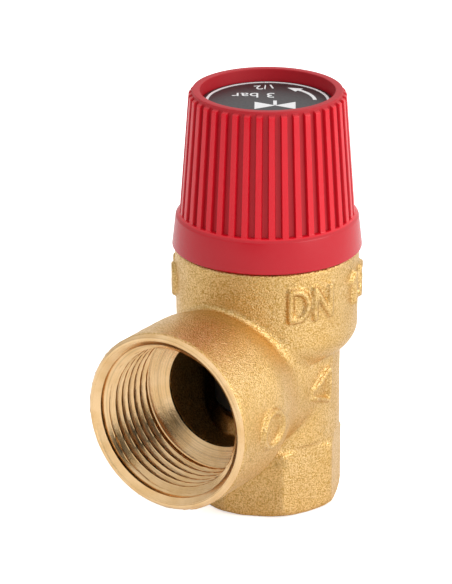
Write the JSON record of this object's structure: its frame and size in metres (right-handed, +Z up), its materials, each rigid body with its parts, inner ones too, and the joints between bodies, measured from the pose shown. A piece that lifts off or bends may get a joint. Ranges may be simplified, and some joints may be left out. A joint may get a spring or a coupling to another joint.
{
  "type": "pressure relief valve",
  "caption": "Angle-pattern diaphragm relief valve: brass body, female inlet below, larger female outlet at the side, red ribbed test cap that turns and lifts a sprung spindle.",
  "frame": {"origin": "centre of the inlet's end face, on the spindle axis", "axes": "+Z up along the spindle towards the test cap; the outlet faces -Y"},
  "size_m": [0.032, 0.0476, 0.0721],
  "materials": {
    "forged_brass": "as-forged, fine blasted grain, machined faces bright",
    "turned_brass": "turned, bright",
    "glass_filled_nylon": "moulded, matt",
    "rubber": "moulded EPDM, matt",
    "steel": "plain bright steel",
    "red_plastic": "moulded, satin gloss",
    "printed_label": "black disc with white print"
  },
  "bodies": {
    "valve": {"valve_body": "forged_brass", "bonnet": "glass_filled_nylon", "slip_ring": "steel", "diaphragm": "rubber", "spring": "steel", "upper_spring_plate": "turned_brass", "adjusting_screw": "turned_brass"},
    "lifter": {"lift_washer": "steel"},
    "test_cap": {"cap": "red_plastic", "label_disc": "printed_label"},
    "stem": {"disc_holder": "glass_filled_nylon", "seal_disc": "rubber", "seal_washer": "turned_brass", "seal_screw": "steel", "spindle": "turned_brass", "diaphragm_plate": "turned_brass", "lower_spring_plate": "turned_brass", "lock_washer": "steel", "spindle_nut": "turned_brass", "lift_nut": "turned_brass"}
  },
  "joints": [
    {"name": "cap_rise", "type": "slide", "parent": "valve", "child": "lifter", "axis": [0, 0, 1], "range_m": [0, 0.002], "deforming": ["spring", "diaphragm"]},
    {"name": "cap_turn", "type": "hinge", "parent": "lifter", "child": "test_cap", "pos_m": [0, 0, 0.06], "axis": [0, 0, 1], "range_deg": [0, 75]},
    {"name": "stem_lift", "type": "slide", "parent": "lifter", "child": "stem", "axis": [0, 0, 1], "range_m": [0, 0.0025], "stiffness_N_per_m": 2000, "springref_m": -0.002, "deforming": ["spring", "diaphragm"]}
  ],
  "couplings": [
    {"joint": "cap_turn", "follows": "cap_rise", "rad_per_m": 654.49}
  ]
}
